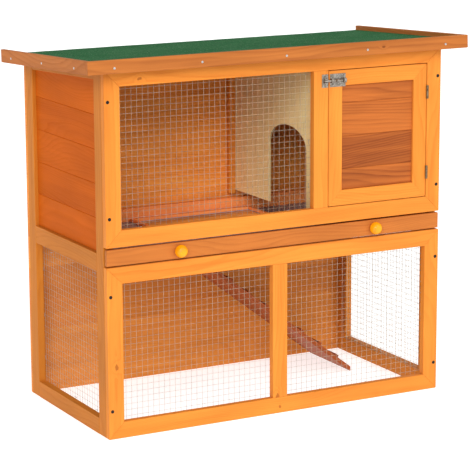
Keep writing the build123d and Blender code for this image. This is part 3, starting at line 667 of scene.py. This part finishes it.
# ---------------------------------------------------------------- wood of every carried-over node
# In mm: where boards start, and their pitch.
SIDE_BOARD_START, BOARD_PITCH = 386.0, 71.0
DOOR_FIRST_BOARD = 44.5
DOOR_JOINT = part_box("door_boards")[0].z / MM + DOOR_FIRST_BOARD
ROOF_BOARD_START, ROOF_BOARD_PITCH = -225.0, 90.0
RAMP_TILT = 37.6
SIDE_BOARDS = dict(tone="side_board", grain="y", flat="x", boards=("z", SIDE_BOARD_START, BOARD_PITCH),
                   contrast=0.5, vary=0.2, shine=0.03)
WOODS = {
    "upper_front_top_rail": dict(tone="frame", grain="x", knots=[(-322, -195, 746, 3)]),
    "upper_front_bottom_rail": dict(tone="frame", grain="x"),
    "upper_front_left_stile": dict(tone="frame", grain="z"),
    "upper_front_right_stile": dict(tone="frame", grain="z"),
    "upper_front_mid_stile": dict(tone="frame", grain="z"),
    "lower_front_top_rail": dict(tone="frame", grain="x"),
    "lower_front_bottom_rail": dict(tone="frame", grain="x", knots=[(2, -195, 14, 2.5)]),
    "lower_front_left_stile": dict(tone="frame", grain="z", knots=[(-383, -195, 153, 4)]),
    "lower_front_right_stile": dict(tone="frame", grain="z"),
    "lower_front_mid_stile": dict(tone="frame", grain="z", knots=[(-4, -195, 37, 4.5)]),
    "door_left_stile": dict(tone="frame", grain="z"),
    "door_right_stile": dict(tone="frame", grain="z"),
    "door_top_rail": dict(tone="frame", grain="x"),
    "door_bottom_rail": dict(tone="frame", grain="x"),
    "door_boards": dict(tone="door_board", grain="x", boards=("z", DOOR_JOINT - BOARD_PITCH, BOARD_PITCH),
                        ring_width=9.0, contrast=0.9, vary=0.7),
    "left_side_boards": SIDE_BOARDS,
    # The inner faces get painted light and shade: the right side's is painted 1.7 times lighter; the
    # back's is painted darker low down, lighter above 420 mm and back to its stain at the top, as painted
    # shade under the roof.
    "right_side_boards": dict(SIDE_BOARDS, knots=[(394, 20, 630, 5)],
                              painted_light=dict(axis="x", share=1.0, climbs=[((330, 1.7), (420, 1.7))])),
    "back_boards": dict(tone="board", grain="x", boards=("z", 0.0, BOARD_PITCH),
                        knots=[(-120, 210, 250, 5), (220, 210, 530, 5), (-260, 210, 610, 4)],
                        painted_light=dict(axis="y", share=0.5, climbs=[((330, 0.65), (420, 1.6)),
                                                                ((500, 1.0), (640, 0.62))])),
    "back_divider_batten": dict(tone="frame", grain="z"),
    "roof_board": dict(tone="under", grain="x", flat="z",
                       boards=("y", ROOF_BOARD_START, ROOF_BOARD_PITCH)),
    "roof_front_fascia": dict(tone="fascia", grain="x", knots=[(236, -225, 779, 2.5)],
                              ring_width=8.0, contrast=0.8),
    "roof_left_fascia": dict(tone="fascia", grain="y", flat="x"),
    "roof_right_fascia": dict(tone="fascia", grain="y", flat="x"),
    "tray_front": dict(tone="tray", grain="x"),
    # The tray's inner boards take the lighter stain, which is painted light.
    "tray_side_boards": dict(tone="tray_inside", grain="y", flat="x"),
    "tray_rear_board": dict(tone="tray_inside", grain="x"),
    "tray_hole_rim": dict(tone="tray_inside", grain="x"),
    "tray_runners": dict(tone="board", grain="y", flat="x"),
    "ramp_bar": dict(tone="ramp", grain="y", flat="x"),
    "ramp_board": dict(tone="ramp", grain="x", flat="z", tilt=RAMP_TILT),
    "ramp_cleats": dict(tone="ramp", grain="y", flat="z"),
}
for prefix in ("left_side", "right_side"):
    for part in ("front_post", "rear_post"):
        WOODS[f"{prefix}_{part}"] = dict(tone="side", grain="z", flat="x")
    for part in ("top_rail", "mid_rail", "bottom_rail"):
        WOODS[f"{prefix}_{part}"] = dict(tone="side", grain="y", flat="x")

galvanised = metal("galvanised_wire", rgb(206, 192, 170), rgb(142, 132, 118), 0.42, 120.0, 0.45)
staple_steel = metal("staple_steel", rgb(206, 206, 206), rgb(150, 150, 152), 0.32, 200.0)
zinc = metal("zinc_plate", rgb(186, 178, 166), rgb(96, 88, 80), 0.36, 240.0, 0.9, 320.0)
door_zinc = metal("dull_zinc", rgb(150, 132, 104), rgb(84, 66, 46), 0.42, 180.0, 0.8)
sheet_zinc = metal("galvanised_sheet", rgb(196, 190, 200), rgb(146, 140, 152), 0.5, 30.0, 0.7, 60.0)
black_oxide = metal("black_oxide", rgb(46, 44, 42), rgb(20, 19, 18), 0.4, 300.0, 0.6)
bright_nail = metal("bright_nail", rgb(226, 226, 224), rgb(160, 160, 160), 0.26, 300.0)
OTHERS = {"hardware": zinc, "tray_metal": sheet_zinc, "black_screw": black_oxide,
          "nail": bright_nail, "knob_plastic": lacquer(), "plywood": plywood()}
# Bevel widths in mm.
BEVELS = {"hardware": 0.25, "plywood": 0.4, "knob_plastic": 0.8}
BOARD_BEVEL, TIMBER_BEVEL = 0.3, 1.1
BEVEL_ANGLE = 35              # degrees
THIN_SLOTS = ("hardware", "knob_plastic")
WELD_DISTANCE = 0.00001       # m
# The nodes that have holes for the assembly screws.
DRILLED = ["lower_front_left_stile", "lower_front_right_stile", "upper_front_left_stile",
           "upper_front_right_stile", "left_side_front_post", "left_side_rear_post",
           "right_side_front_post", "right_side_rear_post", "back_boards"]


def loose_parts(mesh_data):
    """The vertex places of each separate solid of a mesh, in an order that every run repeats."""
    bm = bmesh.new()
    bm.from_mesh(mesh_data)
    bmesh.ops.remove_doubles(bm, verts=bm.verts, dist=WELD_DISTANCE)
    left = dict.fromkeys(bm.verts)
    groups = []
    while left:
        stack, group = [left.popitem()[0]], []
        while stack:
            vert = stack.pop()
            group.append(vert.co.copy())
            for edge in vert.link_edges:
                other = edge.other_vert(vert)
                if other in left:
                    del left[other]
                    stack.append(other)
        groups.append(group)
    bm.free()
    return groups


def whole_timber(node):
    """A drilled member without its screw holes, which the screw heads cover."""
    bm = bmesh.new()
    for group in loose_parts(frame["nodes"][node].data):
        made = bmesh.ops.convex_hull(bm, input=[bm.verts.new(co) for co in group])
        spare = dict.fromkeys(v for key in ("geom_interior", "geom_unused") for v in made[key]
                              if isinstance(v, bmesh.types.BMVert))
        bmesh.ops.delete(bm, geom=list(spare), context="VERTS")
    bmesh.ops.dissolve_limit(bm, angle_limit=math.radians(1), verts=bm.verts, edges=bm.edges)
    bmesh.ops.recalc_face_normals(bm, faces=bm.faces)
    name = node + "_timber"
    return new_piece(name, mesh_of(name, bm), body_of[node], wood(node, **WOODS[node]),
                     replaced=(node,))


def soften(piece, width, thin=False):
    """Rounds a piece's sharp edges by width in mm. On thin pieces the rounds stop where they meet."""
    joined = piece.modifiers.new("joined", "WELD")
    joined.merge_threshold = WELD_DISTANCE
    if width:
        softened = piece.modifiers.new("softened", "BEVEL")
        softened.width = width * MM
        softened.segments = 2
        softened.limit_method = "ANGLE"
        softened.angle_limit = math.radians(BEVEL_ANGLE)
        softened.use_clamp_overlap = thin


def finish_node(name, node):
    """Gives one CAD node its material and soft edges, or its whole timber."""
    slot = slot_of[name]
    if name in WOODS:
        edge = BOARD_BEVEL if "boards" in WOODS[name] else TIMBER_BEVEL
        if name in DRILLED:
            soften(whole_timber(name), edge)
            return
        material = wood(name, **WOODS[name])
        soften(node, edge)
    elif slot in OTHERS:
        material = door_zinc if name.startswith("door_hinge") else OTHERS[slot]
        soften(node, BEVELS.get(slot, 0.0), slot in THIN_SLOTS)
    else:
        return
    node.data.materials.clear()
    node.data.materials.append(material)


for node_name, node in frame["nodes"].items():
    finish_node(node_name, node)
for node_name in ("upper_front_mesh", "lower_front_mesh", "left_side_mesh", "right_side_mesh"):
    welded_mesh(node_name, galvanised, staple_steel)
felt_sheet(felt_material())

# ---------------------------------------------------------------- screws, sizes in mm
PANEL_HEAD, LATCH_HEAD, HINGE_HEAD = (3.6, 0.8), (1.9, 0.7), (2.6, 0.9)     # radius and height
SCREW_INSET = 8.0
SCREW_LEVELS = (60.0, 302.0, 464.0, 703.0)
PLATE_THICK = 1.2
LATCH_SCREW_INSET = 5.0       # from the plate's ends
LATCH_SCREW_RISE = 9.5        # above and below the bolt
ROOF_LEAF_THICK = 1.4
ROOF_LEAF_HALF = 25.0
ROOF_SCREWS = ((-18, 20), (0, 20), (18, 20), (-9, 8), (9, 8))   # from the leaf's middle and its foot
FRONT, BACK = (0, -1, 0), (0, 1, 0)
MOST_TURN = 1.5               # radians
front_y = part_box("lower_front_left_stile")[0].y
back_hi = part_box("back_boards")[1]
draw = random.Random("screws")


def heads_at(places, direction):
    return [(Vector(place), direction, draw.uniform(0, MOST_TURN)) for place in places]


spots = []
for side in (-1, 1):
    x = side * (back_hi.x - SCREW_INSET * MM)
    for level in SCREW_LEVELS:
        spots += heads_at([(x, front_y, level * MM)], FRONT)
        spots += heads_at([(x, back_hi.y, level * MM)], BACK)
place_heads("panel_screws", screw_head(*PANEL_HEAD), spots, "hutch", black_oxide,
            ("assembly_screws",))

small_head = screw_head(*LATCH_HEAD)
plate_lo, plate_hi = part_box("latch_plate")
keep_lo, keep_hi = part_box("latch_keeper")
latch_z = (plate_lo.z + plate_hi.z) / 2
plate_y = front_y - PLATE_THICK * MM
plate_ends = (plate_lo.x + LATCH_SCREW_INSET * MM, plate_hi.x - LATCH_SCREW_INSET * MM)
for name, across, body in (("latch_plate_screws", plate_ends, "door"),
                           ("latch_keeper_screws", ((keep_lo.x + keep_hi.x) / 2,), "hutch")):
    places = [(x, plate_y, latch_z + rise * MM) for x in across
              for rise in (-LATCH_SCREW_RISE, LATCH_SCREW_RISE)]
    place_heads(name, small_head, heads_at(places, FRONT), body, zinc)

leaf_lo, leaf_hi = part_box("roof_hinge_back_leaves")
places = [(side * (leaf_hi.x - ROOF_LEAF_HALF * MM) + dx * MM, back_hi.y + ROOF_LEAF_THICK * MM,
           leaf_lo.z + rise * MM) for side in (-1, 1) for dx, rise in ROOF_SCREWS]
place_heads("roof_hinge_screws", screw_head(*HINGE_HEAD), heads_at(places, BACK), "hutch",
            zinc)


# ---------------------------------------------------------------- floor, light and camera
FLOOR_RADIUS = 30.0
FLOOR_DROP = 0.5 * MM
FLOOR_GLOW = 0.72


def floor():
    """A pale disc that glows a little, so that it fades into the white dome."""
    bm = bmesh.new()
    bmesh.ops.create_circle(bm, cap_ends=True, segments=96, radius=FLOOR_RADIUS)
    bmesh.ops.translate(bm, verts=bm.verts, vec=(0, 0, -FLOOR_DROP))
    data = mesh_of("studio_floor", bm)
    ground = bpy.data.objects.new("studio_floor", data)
    scene.collection.objects.link(ground)
    material, g, surface = new_material("pale_floor")
    surface.inputs["Roughness"].default_value = 0.9
    surface.inputs["Specular IOR Level"].default_value = 0.1
    tone = g.mix(g.noise(g.place(), 3.0), (0.6, 0.6, 0.6, 1), (0.64, 0.64, 0.64, 1))
    g.feed(surface.inputs["Base Color"], tone)
    surface.inputs["Emission Color"].default_value = (1, 1, 1, 1)
    surface.inputs["Emission Strength"].default_value = FLOOR_GLOW
    data.materials.append(material)


def studio_world():
    """A white dome, dimmer overhead and towards the object's left."""
    world = bpy.data.worlds.new("studio")
    scene.world = world
    world.use_nodes = True
    world.node_tree.nodes.clear()
    sky = Graph(world.node_tree)
    direction = sky.split(sky.add("ShaderNodeTexCoord").outputs["Generated"])
    overhead = sky.spread(direction[2], 0.02, 0.35, 0.88, 0.58)
    leftward = sky.spread(direction[0], -1.0, -0.1, 0.55, 1.0)
    strength = sky.math("MULTIPLY", overhead, leftward)
    backdrop = sky.add("ShaderNodeBackground", {"Color": (1, 1, 1, 1), "Strength": strength})
    sky.add("ShaderNodeOutputWorld", {"Surface": backdrop.outputs[0]})


def sun(name, azimuth, elevation, strength, spread):
    """A broad soft light, angles in degrees. Azimuth 0 shines from the front and 90 from the right."""
    data = bpy.data.lights.new(name, "SUN")
    data.energy, data.angle = strength, math.radians(spread)
    lamp = bpy.data.objects.new(name, data)
    scene.collection.objects.link(lamp)
    a, e = math.radians(azimuth), math.radians(elevation)
    toward = Vector((math.sin(a) * math.cos(e), -math.cos(a) * math.cos(e), math.sin(e)))
    lamp.rotation_mode = "QUATERNION"
    lamp.rotation_quaternion = toward.to_track_quat("Z", "Y")


PHOTO_SIDE, FOCAL_PX = 470, 2143.4      # pixels
SENSOR = 36.0                           # mm
NEAREST, FARTHEST = 0.05, 100.0
CAMERA_PLACE = (-2.1754, -4.0521, 1.3377)
AZIMUTH, DOWN, ROLL = (math.radians(v) for v in (28.211, 12.062, -0.238))


def add_camera():
    """The photograph's camera, as solved from the hutch's straight edges."""
    ahead = Vector((math.sin(AZIMUTH) * math.cos(DOWN), math.cos(AZIMUTH) * math.cos(DOWN),
                    -math.sin(DOWN)))
    level = Vector((math.cos(AZIMUTH), -math.sin(AZIMUTH), 0))
    upright = level.cross(ahead)
    right = level * math.cos(ROLL) + upright * math.sin(ROLL)
    up = upright * math.cos(ROLL) - level * math.sin(ROLL)
    lens = bpy.data.cameras.new("camera")
    lens.sensor_width = SENSOR
    lens.lens = FOCAL_PX * SENSOR / PHOTO_SIDE
    lens.clip_start, lens.clip_end = NEAREST, FARTHEST
    camera = bpy.data.objects.new("camera", lens)
    scene.collection.objects.link(camera)
    turned = Matrix((right, up, -ahead)).transposed().to_4x4()
    camera.matrix_world = Matrix.Translation(CAMERA_PLACE) @ turned
    scene.camera = camera


floor()
studio_world()
sun("key", azimuth=14, elevation=38, strength=1.2, spread=50)
sun("fill", azimuth=-38, elevation=25, strength=1.7, spread=30)
add_camera()
scene.view_settings.view_transform = "Standard"
scene.view_settings.exposure = -0.04
